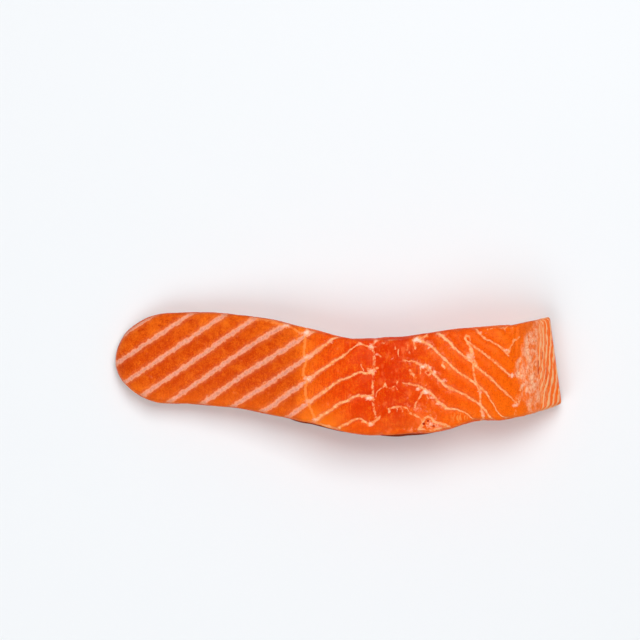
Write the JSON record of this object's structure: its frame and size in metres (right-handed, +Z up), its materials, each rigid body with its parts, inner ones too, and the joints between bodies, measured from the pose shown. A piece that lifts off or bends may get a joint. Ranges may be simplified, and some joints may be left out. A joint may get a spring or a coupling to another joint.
{
  "type": "salmon fillet portion",
  "caption": "Thick raw salmon fillet portion cut straight across the fish, lying on its skin, thin at the belly end and deep at the back.",
  "frame": {"origin": "centre of the bounding box at its base, on the flat skin", "axes": "+X along the portion from the thin belly end to the back of the fish, +Y towards the far knife cut, +Z up out of the cut face of the flesh"},
  "size_m": [0.181, 0.0504, 0.0284],
  "materials": {
    "flesh": "moist raw salmon, orange with pale lines and blots of fat",
    "skin": "thin silver-grey fish skin with fine scales, darker towards the back of the fish"
  },
  "bodies": {
    "root": {"fillet": "flesh"}
  },
  "joints": []
}
